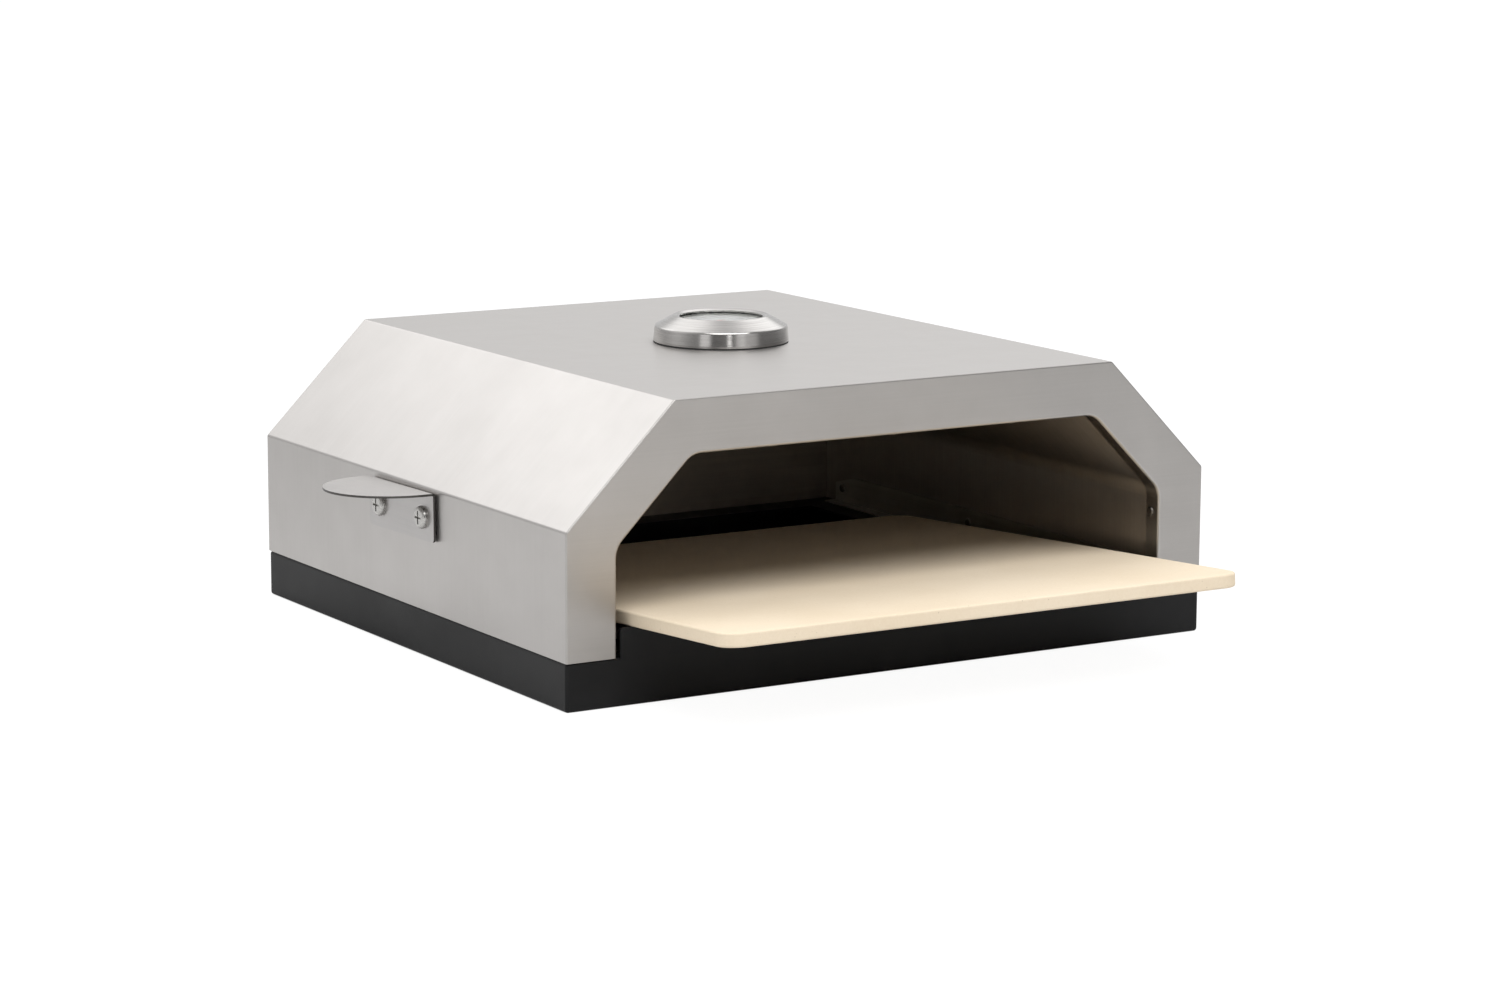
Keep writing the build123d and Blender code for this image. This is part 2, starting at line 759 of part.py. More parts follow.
# The needle points to the cold end of the scale, down and to the left.
needle_rest = 225.0
hub_bottom = dial_top + free_gap
needle_plane = dial_centre.offset(hub_bottom).rotated((0, 0, needle_rest))
with BuildPart() as needle:
    with BuildSketch(needle_plane):
        Circle(needle_hub_radius)
        Circle(staff_radius, mode=Mode.SUBTRACT)
    extrude(amount=needle_hub_height)
    with BuildSketch(needle_plane):
        with BuildLine():
            Polyline(
                (-needle_tail, needle_width / 2),
                (-needle_tail, -needle_width / 2),
                (0, -needle_width / 2),
                (needle_length, -needle_tip / 2),
                (needle_length, needle_tip / 2),
                (0, needle_width / 2),
                close=True,
            )
        make_face()
        Circle(staff_radius, mode=Mode.SUBTRACT)
    extrude(amount=needle_thickness)
needle.part.label = "needle"
export_step(needle.part, "parts/needle.step")

coil_bottom = coil_top - coil_pitch * coil_turns
stem_inner_bottom = -stem_depth + stem_wall
staff_bottom = coil_bottom - coil_pitch
with BuildPart() as needle_staff:
    with BuildSketch(dial_centre.offset(staff_bottom)):
        Circle(staff_radius)
    extrude(amount=hub_bottom + needle_hub_height - staff_bottom)
needle_staff.part.label = "needle_staff"
export_step(needle_staff.part, "parts/needle_staff.step")

with BuildPart() as bimetal_coil:
    with BuildLine() as coil_line:
        Helix(coil_pitch, coil_pitch * coil_turns, coil_radius,
              center=dial_centre.offset(coil_bottom).origin)
    with BuildSketch(coil_line.line ^ 0):
        Circle(coil_wire)
    sweep(is_frenet=True)
bimetal_coil.part.label = "bimetal_coil"
export_step(bimetal_coil.part, "parts/bimetal_coil.step")

with BuildPart() as stem_tube:
    with BuildSketch(dial_centre.offset(-stem_depth)):
        Circle(stem_radius)
    extrude(amount=stem_depth + stem_top)
    fillet(stem_tube.edges().sort_by(Axis.Z)[0], stem_wall)
    with BuildSketch(dial_centre.offset(stem_inner_bottom)):
        Circle(stem_radius - stem_wall)
    extrude(amount=stem_top - stem_inner_bottom, mode=Mode.SUBTRACT)
stem_tube.part.label = "stem_tube"
export_step(stem_tube.part, "parts/stem_tube.step")

with BuildPart() as mounting_washer:
    with Locations(dial_centre.offset(-hood_sheet - mounting_washer_thickness)):
        add(ring(mounting_washer_radius, stud_radius + lap_gap, mounting_washer_thickness))
mounting_washer.part.label = "mounting_washer"
export_step(mounting_washer.part, "parts/mounting_washer.step")

nut_bottom = -hood_sheet - mounting_washer_thickness - mounting_nut_height
with BuildPart() as mounting_nut:
    with Locations(dial_centre.offset(nut_bottom)):
        add(hex_nut(stud_radius + lap_gap, mounting_nut_flats, mounting_nut_height))
mounting_nut.part.label = "mounting_nut"
export_step(mounting_nut.part, "parts/mounting_nut.step")
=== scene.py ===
from math import cos, radians, sin

import bmesh
import bpy
from mathutils import Matrix, Vector


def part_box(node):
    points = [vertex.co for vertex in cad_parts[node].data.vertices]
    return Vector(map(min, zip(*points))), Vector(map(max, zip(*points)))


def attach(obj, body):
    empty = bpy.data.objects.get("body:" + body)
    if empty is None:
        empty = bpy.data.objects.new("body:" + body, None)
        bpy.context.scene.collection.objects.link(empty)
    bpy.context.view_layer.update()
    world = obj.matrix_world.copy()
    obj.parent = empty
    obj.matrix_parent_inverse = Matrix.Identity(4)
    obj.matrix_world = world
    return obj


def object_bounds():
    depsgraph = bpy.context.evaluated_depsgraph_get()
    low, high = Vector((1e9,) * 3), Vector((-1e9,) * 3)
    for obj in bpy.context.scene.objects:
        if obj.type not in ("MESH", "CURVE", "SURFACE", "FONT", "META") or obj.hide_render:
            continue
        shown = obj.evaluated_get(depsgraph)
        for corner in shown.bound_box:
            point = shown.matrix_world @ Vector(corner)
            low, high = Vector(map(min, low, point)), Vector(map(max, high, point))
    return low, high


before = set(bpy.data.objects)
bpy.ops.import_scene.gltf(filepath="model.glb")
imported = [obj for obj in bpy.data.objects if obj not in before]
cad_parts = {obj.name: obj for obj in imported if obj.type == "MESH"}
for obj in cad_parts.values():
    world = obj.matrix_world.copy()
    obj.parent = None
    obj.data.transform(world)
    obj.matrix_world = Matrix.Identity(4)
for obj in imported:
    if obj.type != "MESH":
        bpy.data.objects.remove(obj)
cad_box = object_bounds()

# A barbecue-top pizza oven. The CAD nodes keep their shapes and get their finishes here;
# the thermometer's scale is made here, on the dial plate. Metres, in the frame's own axes.

MM = 0.001

# ---------------------------------------------------------------- places from the frame

hood_low, hood_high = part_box("hood_wrapper")
hood_middle = (hood_low + hood_high) / 2
dial_low, dial_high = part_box("dial_plate")
dial_centre = Vector(((dial_low.x + dial_high.x) / 2, (dial_low.y + dial_high.y) / 2, dial_high.z))
dial_radius = (dial_high.x - dial_low.x) / 2


# ---------------------------------------------------------------- material building blocks

class Finish:
    """A node material built round one Principled shader."""

    def __init__(self, name):
        self.material = bpy.data.materials.new(name)
        self.material.use_nodes = True
        self.tree = self.material.node_tree
        self.shader = self.tree.nodes["Principled BSDF"]

    def node(self, kind, **settings):
        made = self.tree.nodes.new(kind)
        for key, value in settings.items():
            setattr(made, key, value)
        return made

    def link(self, source, target):
        self.tree.links.new(source, target)

    def set(self, **values):
        """Constants on the shader's own sockets, such as base_color or roughness."""
        for key, value in values.items():
            socket = "IOR" if key == "ior" else key.replace("_", " ").title()
            self.shader.inputs[socket].default_value = value

    def position(self):
        """Position in the frame, the same for every piece of the object."""
        return self.node("ShaderNodeTexCoord").outputs["Object"]

    def normal(self):
        return self.node("ShaderNodeNewGeometry").outputs["Normal"]

    def axes(self, vector):
        """The X, Y and Z outputs of a vector."""
        split = self.node("ShaderNodeSeparateXYZ")
        self.link(vector, split.inputs["Vector"])
        return split.outputs

    def crossed(self, first, second):
        """Cross product of a vector socket with a socket or with a fixed vector."""
        made = self.node("ShaderNodeVectorMath", operation="CROSS_PRODUCT")
        self.link(first, made.inputs[0])
        if isinstance(second, tuple):
            made.inputs[1].default_value = second
        else:
            self.link(second, made.inputs[1])
        return made.outputs["Vector"]

    def scaled(self, vector, scale):
        mapping = self.node("ShaderNodeMapping")
        mapping.inputs["Scale"].default_value = scale
        self.link(vector, mapping.inputs["Vector"])
        return mapping.outputs["Vector"]

    def noise(self, vector, scale=1.0, detail=3.0, roughness=0.55):
        texture = self.node("ShaderNodeTexNoise")
        texture.inputs["Scale"].default_value = scale
        texture.inputs["Detail"].default_value = detail
        texture.inputs["Roughness"].default_value = roughness
        self.link(vector, texture.inputs["Vector"])
        return texture.outputs["Fac"]

    def spread(self, value, low, high, out_low, out_high):
        """value from low..high to out_low..out_high, clamped."""
        ranged = self.node("ShaderNodeMapRange")
        for socket, number in zip(("From Min", "From Max", "To Min", "To Max"),
                                  (low, high, out_low, out_high)):
            ranged.inputs[socket].default_value = number
        self.link(value, ranged.inputs["Value"])
        return ranged.outputs["Result"]

    def maths(self, operation, a, b=0):
        made = self.node("ShaderNodeMath", operation=operation)
        for socket, value in zip(made.inputs, (a, b)):
            if isinstance(value, (int, float)):
                socket.default_value = value
            else:
                self.link(value, socket)
        return made.outputs["Value"]

    def weighed(self, first, second, share):
        """first and second added up, with this share of the first."""
        return self.maths("ADD", self.maths("MULTIPLY", first, share),
                          self.maths("MULTIPLY", second, 1 - share))

    def blend(self, factor, first, second):
        """Colour between first and second."""
        mixer = self.node("ShaderNodeMix", data_type="RGBA")
        sockets = {s.identifier: s for s in mixer.inputs}
        self.link(factor, sockets["Factor_Float"])
        for identifier, colour in (("A_Color", first), ("B_Color", second)):
            if isinstance(colour, tuple):
                sockets[identifier].default_value = (*colour, 1.0)
            else:
                self.link(colour, sockets[identifier])
        return next(s for s in mixer.outputs if s.identifier == "Result_Color")

    def bump(self, height, strength, distance):
        made = self.node("ShaderNodeBump")
        made.inputs["Strength"].default_value = strength
        made.inputs["Distance"].default_value = distance
        self.link(height, made.inputs["Height"])
        self.link(made.outputs["Normal"], self.shader.inputs["Normal"])

    def coat(self, colour, rough=None):
        """colour and roughness values on the shader."""
        self.link(colour, self.shader.inputs["Base Color"])
        if rough is not None:
            self.link(rough, self.shader.inputs["Roughness"])


FINE_GRAIN = 2600.0  # noise cells per metre across the grain
COARSE_GRAIN = 700.0
DRAWN_GRAIN = 14.0  # along the grain
HAIR_SHARE = 0.6
CLOUD_SHARE = 0.55
GRAIN_SHARE = 0.35
EDGE_ROUGHNESS = 0.15


def brushed_steel(name, fine_axes, light, dark, rough_low, rough_high, anisotropy=0.75, edge_shade=None):
    """Brushed stainless steel with faint smudges. The grain is fine along fine_axes and drawn
    out along the others; the edge function, if given, makes a mask of painted shade that darkens the
    sheet's edges."""
    finish = Finish(name)
    position = finish.position()
    hair_scale = [FINE_GRAIN if axis in fine_axes else DRAWN_GRAIN for axis in "XYZ"]
    streak_scale = [COARSE_GRAIN if axis in fine_axes else DRAWN_GRAIN / 2 for axis in "XYZ"]
    hairs = finish.noise(finish.scaled(position, hair_scale), detail=2.0)
    streaks = finish.noise(finish.scaled(position, streak_scale), detail=3.0)
    clouds = finish.noise(position, scale=9.0, detail=2.0)
    smudges = finish.noise(position, scale=46.0, detail=4.0, roughness=0.6)
    lines = finish.weighed(hairs, streaks, HAIR_SHARE)
    tone = finish.weighed(lines, finish.weighed(clouds, smudges, CLOUD_SHARE), GRAIN_SHARE)
    colour = finish.blend(finish.spread(tone, 0.38, 0.62, 0, 1), dark, light)
    rough = finish.spread(tone, 0.35, 0.65, rough_high, rough_low)
    if edge_shade:
        shade_mask = edge_shade(finish)
        # painted shade: the masked edges are blended towards a dark colour
        colour = finish.blend(shade_mask, colour, PAINTED_EDGE_SHADE)
        rough = finish.maths("ADD", rough, finish.maths("MULTIPLY", shade_mask, EDGE_ROUGHNESS))
    finish.coat(colour, rough)
    finish.bump(lines, 0.05, 0.02 * MM)
    finish.set(metallic=1.0, anisotropic=anisotropy)
    finish.link(across_grain(finish, fine_axes), finish.shader.inputs["Tangent"])
    return finish.material


def across_grain(finish, fine_axes):
    """Tangent in the surface, square to the grain: the way in which the highlight spreads."""
    if len(fine_axes) == 1:
        along = finish.crossed(finish.normal(), tuple(float(axis in fine_axes) for axis in "XYZ"))
    else:
        along = tuple(float(axis not in fine_axes) for axis in "XYZ")
    return finish.crossed(finish.normal(), along)


def handle_painted_edge_shade(finish):
    """1 where painted shade darkens the handle: the tab's rim, and the plate's ends and foot."""
    normal = finish.axes(finish.normal())
    outside = finish.maths("ABSOLUTE", finish.axes(finish.position())["X"])
    on_tab = finish.maths("GREATER_THAN", outside, hood_high.x + TAB_START)
    on_plate = finish.maths("SUBTRACT", 1.0, on_tab)
    upright = finish.maths("LESS_THAN", finish.maths("ABSOLUTE", normal["Z"]), EDGE_UPRIGHT)
    downward = finish.maths("LESS_THAN", normal["Z"], -EDGE_FACING)
    lengthways = finish.maths("GREATER_THAN", finish.maths("ABSOLUTE", normal["Y"]), EDGE_FACING)
    rim = finish.maths("MULTIPLY", on_tab, upright)
    foot = finish.maths("MULTIPLY", on_plate, downward)
    return finish.maths("MAXIMUM", finish.maths("MAXIMUM", rim, foot), lengthways)


TURNED_GRAIN = 1500.0  # noise cells per metre across the grain
TURNED_DRAW = 1.2  # noise cells per radian along it


def turned_steel(name, centre, light, dark, rough_low, rough_high, anisotropy=0.75):
    """Steel brushed round an upright axis through centre."""
    finish = Finish(name)
    offset = finish.node("ShaderNodeVectorMath", operation="SUBTRACT")
    finish.link(finish.position(), offset.inputs[0])
    offset.inputs[1].default_value = centre
    flat = finish.axes(offset.outputs["Vector"])
    squares = finish.maths("ADD", finish.maths("MULTIPLY", flat["X"], flat["X"]),
                           finish.maths("MULTIPLY", flat["Y"], flat["Y"]))
    angle = finish.maths("ARCTAN2", flat["Y"], flat["X"])
    rings = finish.node("ShaderNodeCombineXYZ")
    for socket, value, scale in (("X", finish.maths("SQRT", squares), TURNED_GRAIN),
                                 ("Y", flat["Z"], TURNED_GRAIN), ("Z", angle, TURNED_DRAW)):
        finish.link(finish.maths("MULTIPLY", value, scale), rings.inputs[socket])
    lines = finish.noise(rings.outputs["Vector"], detail=2.0)
    finish.coat(finish.blend(finish.spread(lines, 0.3, 0.7, 0, 1), dark, light),
                finish.spread(lines, 0.3, 0.7, rough_high, rough_low))
    finish.bump(lines, 0.06, 0.03 * MM)
    tangent = finish.node("ShaderNodeTangent", direction_type="RADIAL", axis="Z")
    finish.link(tangent.outputs["Tangent"], finish.shader.inputs["Tangent"])
    finish.set(metallic=1.0, anisotropic=anisotropy, anisotropic_rotation=0.25)
    return finish.material


def powder_coat(name, colour, roughness):
    """Heat-resistant powder coat: fine orange peel and a few rubbed places."""
    finish = Finish(name)
    position = finish.position()
    peel = finish.noise(position, scale=900.0, detail=2.0)
    wear = finish.noise(position, scale=14.0, detail=4.0)
    lighter = tuple(channel * 1.6 + 0.0015 for channel in colour)
    finish.coat(finish.blend(finish.spread(wear, 0.45, 0.75, 0, 1), colour, lighter),
                finish.spread(wear, 0.3, 0.7, roughness - 0.05, roughness + 0.08))
    finish.bump(peel, 0.22, 0.12 * MM)
    finish.set(ior=1.30)
    return finish.material


def fired_clay(name, pale, deep, speck):
    """Unglazed cordierite: warm cream body, soft clouds, fine pores and a few dark specks."""
    finish = Finish(name)
    position = finish.position()
    clouds = finish.noise(position, scale=16.0, detail=4.0)
    grain = finish.noise(position, scale=700.0, detail=3.0)
    pores = finish.node("ShaderNodeTexVoronoi", feature="F1")
    pores.inputs["Scale"].default_value = 420.0
    finish.link(position, pores.inputs["Vector"])
    speck_mask = finish.spread(pores.outputs["Distance"], 0.10, 0.17, 1, 0)
    rare = finish.spread(finish.noise(position, scale=240.0, detail=1.0), 0.60, 0.66, 0, 0.55)
    tone = finish.weighed(clouds, grain, 0.6)
    body = finish.blend(finish.spread(tone, 0.36, 0.64, 0, 1), deep, pale)
    finish.coat(finish.blend(finish.maths("MULTIPLY", speck_mask, rare), body, speck))
    relief = finish.maths("SUBTRACT", finish.maths("MULTIPLY", grain, 0.5), speck_mask)
    finish.bump(relief, 0.25, 0.15 * MM)
    finish.set(roughness=0.82, ior=1.45)
    return finish.material


def metal(name, colour, roughness):
    """Bright or plated metal of a small fastener, with faint tool marks."""
    finish = Finish(name)
    marks = finish.noise(finish.position(), scale=1100.0, detail=3.0)
    darker = tuple(channel * 0.8 for channel in colour)
    finish.coat(finish.blend(finish.spread(marks, 0.35, 0.65, 0, 1), darker, colour),
                finish.spread(marks, 0.3, 0.7, roughness + 0.06, roughness - 0.04))
    finish.bump(marks, 0.05, 0.03 * MM)
    finish.set(metallic=1.0)
    return finish.material


def paint(name, colour, roughness):
    """Even paint or print with a trace of grain."""
    finish = Finish(name)
    grain = finish.noise(finish.position(), scale=1600.0, detail=2.0)
    darker = tuple(channel * 0.92 for channel in colour)
    finish.coat(finish.blend(grain, darker, colour))
    finish.bump(grain, 0.04, 0.02 * MM)
    finish.set(roughness=roughness)
    return finish.material


def clear_glass(name):
    """Clear glass with a faint uneven film."""
    finish = Finish(name)
    film = finish.noise(finish.position(), scale=60.0, detail=2.0)
    finish.link(finish.spread(film, 0.3, 0.7, 0.02, 0.06), finish.shader.inputs["Roughness"])
    finish.set(base_color=(0.97, 0.99, 0.98, 1.0), transmission_weight=1.0, ior=1.5)
    return finish.material


# ---------------------------------------------------------------- finishes of the CAD nodes

STEEL = ((0.50, 0.482, 0.468), (0.468, 0.451, 0.437))  # the light and the dark tone
# painted shade: the panels get a darker copy of the hood's steel tones
PANEL_PAINTED_SHADE = ((0.452, 0.434, 0.418), (0.422, 0.405, 0.390))
HANDLE = ((0.475, 0.46, 0.452), (0.44, 0.427, 0.42))
LINER = ((0.43, 0.39, 0.35), (0.35, 0.315, 0.28))
# painted reflection: the rails get steel lighter than the liner's, for the stone's light they reflect
RAIL_PAINTED_SHEEN = ((0.56, 0.54, 0.50), (0.48, 0.46, 0.42))
BEZEL = ((0.44, 0.428, 0.416), (0.38, 0.369, 0.358))
# painted shade: the dark colour put on the handles' edges, ends and foot
PAINTED_EDGE_SHADE = (0.10, 0.095, 0.09)
COAT_BLACK = (0.0052, 0.0052, 0.0056)
CLAY_PALE = (0.80, 0.685, 0.53)
CLAY_DEEP = (0.75, 0.63, 0.47)
CLAY_SPECK = (0.45, 0.35, 0.24)
TAB_START = 5 * MM  # from the hood's side to where the tab is clear of its plate
EDGE_UPRIGHT = 0.5  # a normal's Z below this is on the tab's rim
EDGE_FACING = 0.6  # a normal's part along an axis above this faces that way

FINISHES = {
    brushed_steel("hood_skin", "Y", *STEEL, 0.29, 0.34): ["hood_wrapper"],
    brushed_steel("panel_skin", "Z", *PANEL_PAINTED_SHADE, 0.30, 0.36): ["front_panel", "rear_panel"],
    brushed_steel("handle_skin", "XZ", *HANDLE, 0.28, 0.38, edge_shade=handle_painted_edge_shade): [
        "left_handle", "right_handle"],
    brushed_steel("liner_skin", "Y", *LINER, 0.34, 0.46): ["oven_liner"],
    brushed_steel("liner_back_skin", "Z", *LINER, 0.38, 0.50): ["liner_rear_panel"],
    brushed_steel("rail_skin", "XZ", *RAIL_PAINTED_SHEEN, 0.36, 0.48): ["left_rail", "right_rail"],
    powder_coat("black_coat", COAT_BLACK, 0.42): ["base_frame"],
    fired_clay("fired_clay", CLAY_PALE, CLAY_DEEP, CLAY_SPECK): ["baking_stone"],
    metal("bright_steel", (0.54, 0.53, 0.51), 0.26): ["handle_screws", "handle_washers"],
    metal("rivet_steel", (0.20, 0.185, 0.165), 0.34): [
        "flange_rivets", "rail_rivets", "rail_foot_rivets"],
    metal("zinc_plate", (0.55, 0.56, 0.56), 0.34): [
        "handle_nuts", "rear_rivets", "hood_screws", "hood_nuts", "mounting_washer"],
    metal("bare_brass", (0.78, 0.58, 0.28), 0.25): ["needle_staff", "mounting_nut", "bimetal_coil"],
    turned_steel("bezel_skin", dial_centre, *BEZEL, 0.18, 0.24): ["thermometer_bezel", "stem_tube"],
    paint("case_grey", (0.66, 0.66, 0.64), 0.45): ["thermometer_case"],
    paint("gasket_black", (0.012, 0.012, 0.012), 0.8): ["thermometer_gasket"],
    paint("dial_white", (0.86, 0.86, 0.84), 0.5): ["dial_plate"],
    paint("needle_red", (0.55, 0.03, 0.02), 0.4): ["needle"],
    clear_glass("dial_glass"): ["glass_lens"],
}
for material, names in FINISHES.items():
    for name in names:
        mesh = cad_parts[name].data
        mesh.materials.clear()
        mesh.materials.append(material)


# ---------------------------------------------------------------- the dial's scale

SCALE_START = radians(225)
SCALE_SWEEP = radians(270)
SCALE_STEPS = 40
STEPS_PER_NUMBER = 5
DEGREES_PER_STEP = 10
PRINT = 0.04 * MM  # how far the print stands on the dial
TICK_INSET = 1.4 * MM  # from the dial's rim
LONG_TICK = (2.6 * MM, 0.28 * MM)  # length and half width
SHORT_TICK = (1.5 * MM, 0.14 * MM)
RING_INSET = 1.15 * MM
RING_HALF = 0.12 * MM
RING_PARTS = 96
NUMBER_INSET = 6.6 * MM
NUMBER_SIZE = 3.3 * MM


def mesh_object(name, mesh):
    """A new object from a bmesh, which is freed."""
    data = bpy.data.meshes.new(name)
    mesh.to_mesh(data)
    mesh.free()
    made = bpy.data.objects.new(name, data)
    bpy.context.scene.collection.objects.link(made)
    return made


def scale_angle(step):
    return SCALE_START - SCALE_SWEEP * step / SCALE_STEPS


def printed_prism(mesh, outline):
    """A closed thin prism on the dial's face over a flat outline, in metres from its centre."""
    low = [mesh.verts.new(dial_centre + Vector((x, y, 0))) for x, y in outline]
    high = [mesh.verts.new(dial_centre + Vector((x, y, PRINT))) for x, y in outline]
    mesh.faces.new(list(reversed(low)))
    mesh.faces.new(high)
    for i in range(len(outline)):
        j = (i + 1) % len(outline)
        mesh.faces.new((low[i], low[j], high[j], high[i]))


def dial_ticks(name):
    """Long ticks at the numbers and short ones between, along the dial's rim."""
    mesh = bmesh.new()
    outer = dial_radius - TICK_INSET
    for step in range(SCALE_STEPS + 1):
        length, half = LONG_TICK if step % STEPS_PER_NUMBER == 0 else SHORT_TICK
        inner = outer - length
        out = Vector((cos(scale_angle(step)), sin(scale_angle(step))))
        side = Vector((-out.y, out.x))
        corners = [out * inner - side * half, out * outer - side * half,
                   out * outer + side * half, out * inner + side * half]
        printed_prism(mesh, [(c.x, c.y) for c in corners])
    return mesh_object(name, mesh)


def dial_ring(name):
    """A thin line round the scale, from its first tick to its last."""
    mesh = bmesh.new()
    radius = dial_radius - RING_INSET
    angles = [scale_angle(SCALE_STEPS * i / RING_PARTS) for i in range(RING_PARTS + 1)]
    inner = [((radius - RING_HALF) * cos(a), (radius - RING_HALF) * sin(a)) for a in angles]
    outer = [((radius + RING_HALF) * cos(a), (radius + RING_HALF) * sin(a)) for a in angles]
    printed_prism(mesh, inner + outer[::-1])
    return mesh_object(name, mesh)


def dial_numbers(name):
    """The numbers of the scale, each upright, as one mesh."""
    mesh = bmesh.new()
    reach = dial_radius - NUMBER_INSET
    for step in range(0, SCALE_STEPS + 1, STEPS_PER_NUMBER):
        text = bpy.data.curves.new("number", "FONT")
        text.body = str(step * DEGREES_PER_STEP)
        text.size = NUMBER_SIZE
        text.align_x = "CENTER"
        text.align_y = "CENTER"
        text.extrude = PRINT / 2
        holder = bpy.data.objects.new("number", text)
        shape = bpy.data.meshes.new_from_object(holder)
        a = scale_angle(step)
        place = dial_centre + Vector((reach * cos(a), reach * sin(a), PRINT / 2))
        shape.transform(Matrix.Translation(place))
        mesh.from_mesh(shape)
        bpy.data.objects.remove(holder)
        bpy.data.curves.remove(text)
        bpy.data.meshes.remove(shape)
    bmesh.ops.remove_doubles(mesh, verts=mesh.verts, dist=1e-7)
    return mesh_object(name, mesh)


dial_print = paint("dial_print", (0.02, 0.02, 0.022), 0.45)
for piece in (dial_ticks("dial_ticks"), dial_ring("dial_ring"), dial_numbers("dial_numbers")):
    piece.data.materials.append(dial_print)
    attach(piece, "oven")


# ---------------------------------------------------------------- camera

CAMERA_AZIMUTH = radians(-31.391)
CAMERA_ELEVATION = radians(9.882)
CAMERA_ROLL = radians(0.238)
CAMERA_DISTANCE = 2.3314
CAMERA_LENS = 97.88
CAMERA_SHIFT = (0.00886, -0.01423)
CAMERA_AIM = Vector((24.9, 28.2, 70.0)) * MM  # from the floor under the hood's middle
CLIP_END = 30.0


def aimed(place, way):
    """Placing of a camera or lamp that looks along way."""
    return Matrix.Translation(place) @ way.to_track_quat("-Z", "Y").to_matrix().to_4x4()


def camera_at(azimuth, elevation, roll, target, distance):
    """Camera round the target: azimuth 0 looks along +Y, elevation is above the horizon."""
    back = Vector((sin(azimuth) * cos(elevation), -cos(azimuth) * cos(elevation), sin(elevation)))
    made = bpy.data.objects.new("camera", bpy.data.cameras.new("camera"))
    bpy.context.scene.collection.objects.link(made)
    made.matrix_world = aimed(target + back * distance, -back) @ Matrix.Rotation(roll, 4, "Z")
    return made


camera = camera_at(CAMERA_AZIMUTH, CAMERA_ELEVATION, CAMERA_ROLL,
                   Vector((hood_middle.x, hood_middle.y, 0)) + CAMERA_AIM, CAMERA_DISTANCE)
camera.data.lens = CAMERA_LENS
camera.data.shift_x, camera.data.shift_y = CAMERA_SHIFT
camera.data.clip_end = CLIP_END
bpy.context.scene.camera = camera

# ---------------------------------------------------------------- floor and light

FLOOR_SHADE = 0.70
FLOOR_SIZE = 40.0
FLOOR_LIFT = 0.84  # share of the lifted shade in what the camera sees of the floor
FLOOR_GLOW = 1.12
FOOTPRINT_EDGE = 4 * MM


def studio_floor(name, height, footprint):
    """A pale matt floor. What shows of it round the object is lifted nearly to white; under
    the object, inside the footprint's box, it keeps its own shade."""
    grid = bmesh.new()
    bmesh.ops.create_grid(grid, x_segments=1, y_segments=1, size=FLOOR_SIZE)
    made = mesh_object(name, grid)
    made.location.z = height
    finish = Finish(name)
    finish.set(base_color=(FLOOR_SHADE, FLOOR_SHADE, FLOOR_SHADE, 1.0), roughness=0.95)
    glow = finish.node("ShaderNodeEmission")
    glow.inputs["Strength"].default_value = FLOOR_GLOW
    lift = finish.maths("MULTIPLY", finish.maths("SUBTRACT", 1.0, inside_box(finish, footprint)),
                        FLOOR_LIFT)
    from_camera = finish.node("ShaderNodeLightPath").outputs["Is Camera Ray"]
    mixed = finish.node("ShaderNodeMixShader")
    finish.link(finish.maths("MULTIPLY", from_camera, lift), mixed.inputs[0])
    finish.link(finish.shader.outputs["BSDF"], mixed.inputs[1])
    finish.link(glow.outputs["Emission"], mixed.inputs[2])
    finish.link(mixed.outputs["Shader"], finish.tree.nodes["Material Output"].inputs["Surface"])
    made.data.materials.append(finish.material)


def inside_box(finish, box):
    """1 inside the box's plan, falling to 0 over its last few millimetres."""
    place = finish.axes(finish.position())
    inside = 1.0
    for axis, low, high in zip("XY", *box):
        half = (high - low) / 2
        off_middle = finish.maths("ABSOLUTE", finish.maths("SUBTRACT", place[axis], (low + high) / 2))
        within = finish.spread(off_middle, half - FOOTPRINT_EDGE, half, 1, 0)
        inside = finish.maths("MULTIPLY", inside, within)
    return inside


def softbox(name, place, aim, size, power):
    """A rectangular lamp that the camera doesn't see."""
    light = bpy.data.lights.new(name, "AREA")
    light.shape = "RECTANGLE"
    light.size, light.size_y = size
    light.energy = power
    lamp = bpy.data.objects.new(name, light)
    lamp.visible_camera = False
    bpy.context.scene.collection.objects.link(lamp)
    lamp.matrix_world = aimed(place, aim - place)


def direction(azimuth, elevation):
    """Unit vector: azimuth in degrees from +Y towards +X, elevation above the horizon."""
    a, e = radians(azimuth), radians(elevation)
    return Vector((sin(a) * cos(e), cos(a) * cos(e), sin(e)))


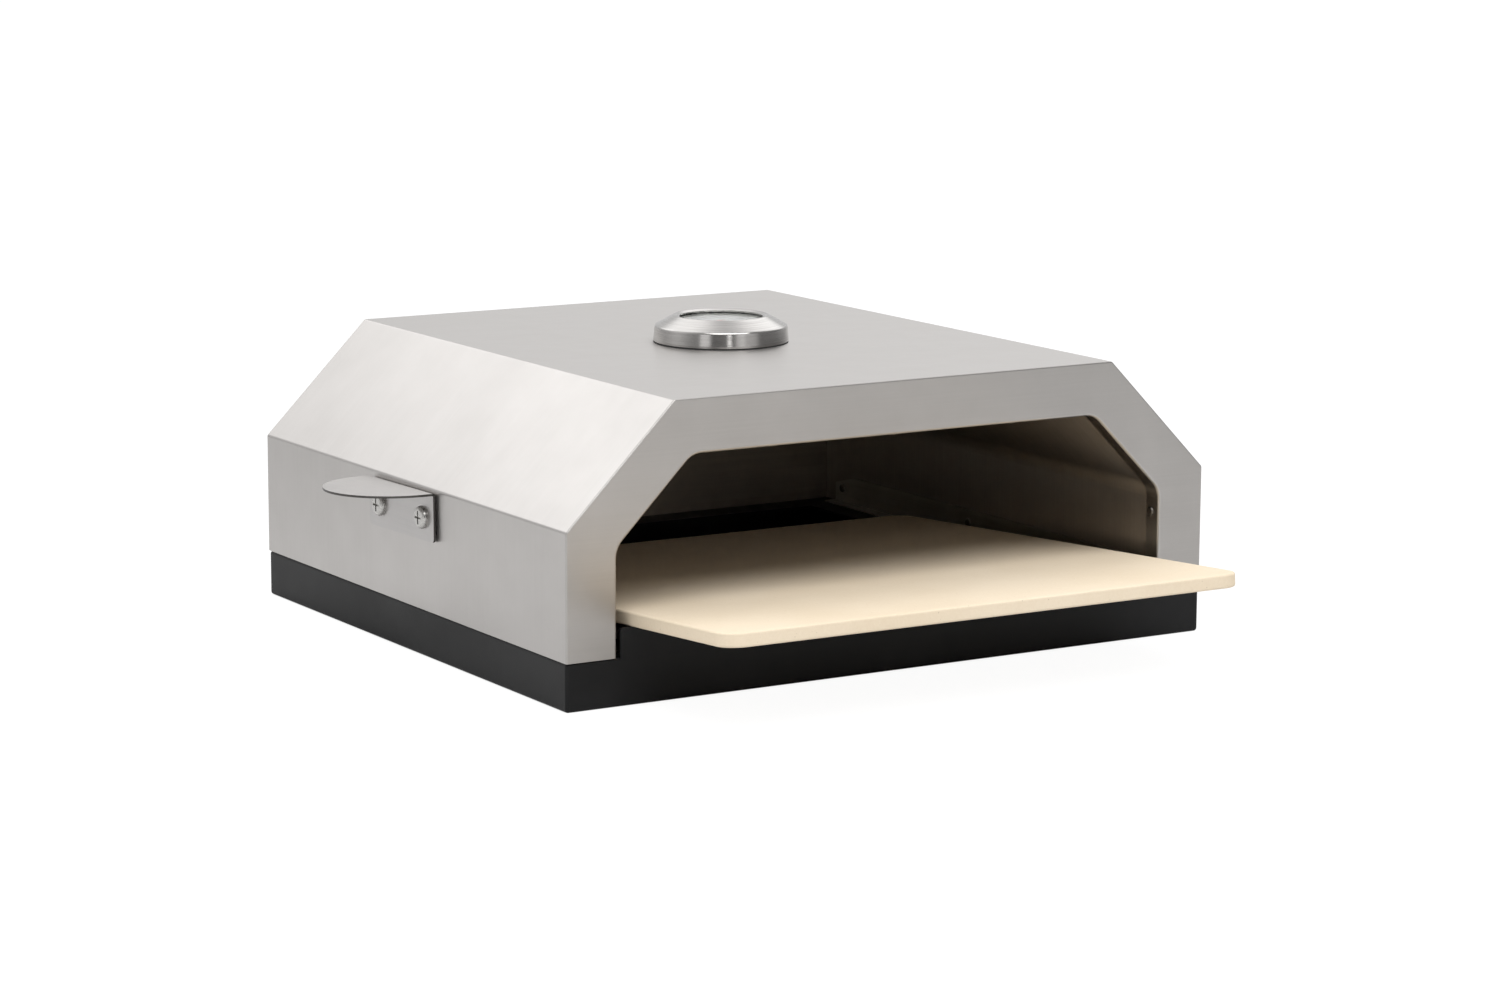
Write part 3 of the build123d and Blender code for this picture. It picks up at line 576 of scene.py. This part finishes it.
class Studio:
    """The world's light, added up from soft patches on a pale room."""

    def __init__(self):
        world = bpy.data.worlds.new("studio")
        world.use_nodes = True
        bpy.context.scene.world = world
        self.nodes, self.links = world.node_tree.nodes, world.node_tree.links
        self.way = self.nodes.new("ShaderNodeTexCoord").outputs["Generated"]
        self.total = None

    def add(self, value):
        if self.total is None:
            self.total = value
            return
        adder = self.nodes.new("ShaderNodeMath")
        adder.operation = "ADD"
        self.links.new(self.total, adder.inputs[0])
        self.links.new(value, adder.inputs[1])
        self.total = adder.outputs["Value"]

    def patch(self, axis, dark_at, full_at, level):
        """Light that rises from nothing to level as the way comes nearer to axis: dark_at and
        full_at are angles from it in degrees."""
        along = self.nodes.new("ShaderNodeVectorMath")
        along.operation = "DOT_PRODUCT"
        self.links.new(self.way, along.inputs[0])
        along.inputs[1].default_value = axis
        ramp = self.nodes.new("ShaderNodeMapRange")
        ramp.interpolation_type = "SMOOTHSTEP"
        for socket, number in zip(("From Min", "From Max", "To Min", "To Max"),
                                  (cos(radians(dark_at)), cos(radians(full_at)), 0.0, level)):
            ramp.inputs[socket].default_value = number
        self.links.new(along.outputs["Value"], ramp.inputs["Value"])
        self.add(ramp.outputs["Result"])

    def finish(self):
        background = self.nodes["Background"]
        self.links.new(self.total, background.inputs["Strength"])
        background.inputs["Color"].default_value = (1.0, 1.0, 1.0, 1.0)


REAR_WALL = (Vector((0, 1, 0)), 105, 60, 0.64)  # each: axis, dark_at, full_at, level
CEILING = (Vector((0, 0, 1)), 105, 35, 0.36)
SHOULDER_GLOW = (direction(-8, 47), 30, 8, 1.0)
FRONT_GLOW = (direction(164, 10), 26, 8, 0.75)
RIGHT_WINDOW = (direction(56, 40), 26, 10, 1.1)
LEFT_WALL = (direction(-90, 20), 50, 20, 0.3)
BEZEL_STREAK = (direction(-163.5, 4), 4.5, 2.5, 4.0)
BEZEL_FRONT = (direction(178, 4), 11, 6, 0.6)
BEZEL_LEFT = (direction(-122, 4), 12, 6, 1.3)
RIGHT_WALL = (direction(120, 6), 40, 18, 0.12)


def studio_light():
    """The room's walls, ceiling and bright places, all white."""
    studio = Studio()
    for patch in (REAR_WALL, CEILING, SHOULDER_GLOW, FRONT_GLOW, RIGHT_WINDOW, LEFT_WALL,
                  BEZEL_STREAK, BEZEL_FRONT, BEZEL_LEFT, RIGHT_WALL):
        studio.patch(*patch)
    studio.finish()


heart = Vector((0, hood_middle.y, hood_middle.z))
KEY_PLACE = heart + Vector((-0.25, -1.2, 2.1))
KEY_SIZE = (2.4, 1.8)
KEY_POWER = 52
EDGE_PLACE = heart + Vector((-0.35, 0.72, 0.62))
EDGE_AIM = heart + Vector((-0.17, -0.12, 0.04))
EDGE_SIZE = (0.5, 0.35)
EDGE_POWER = 0.36

studio_floor("floor", cad_box[0].z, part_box("base_frame"))
softbox("key_box", KEY_PLACE, heart, KEY_SIZE, KEY_POWER)
softbox("edge_box", EDGE_PLACE, EDGE_AIM, EDGE_SIZE, EDGE_POWER)
studio_light()
bpy.context.scene.view_settings.view_transform = "Standard"
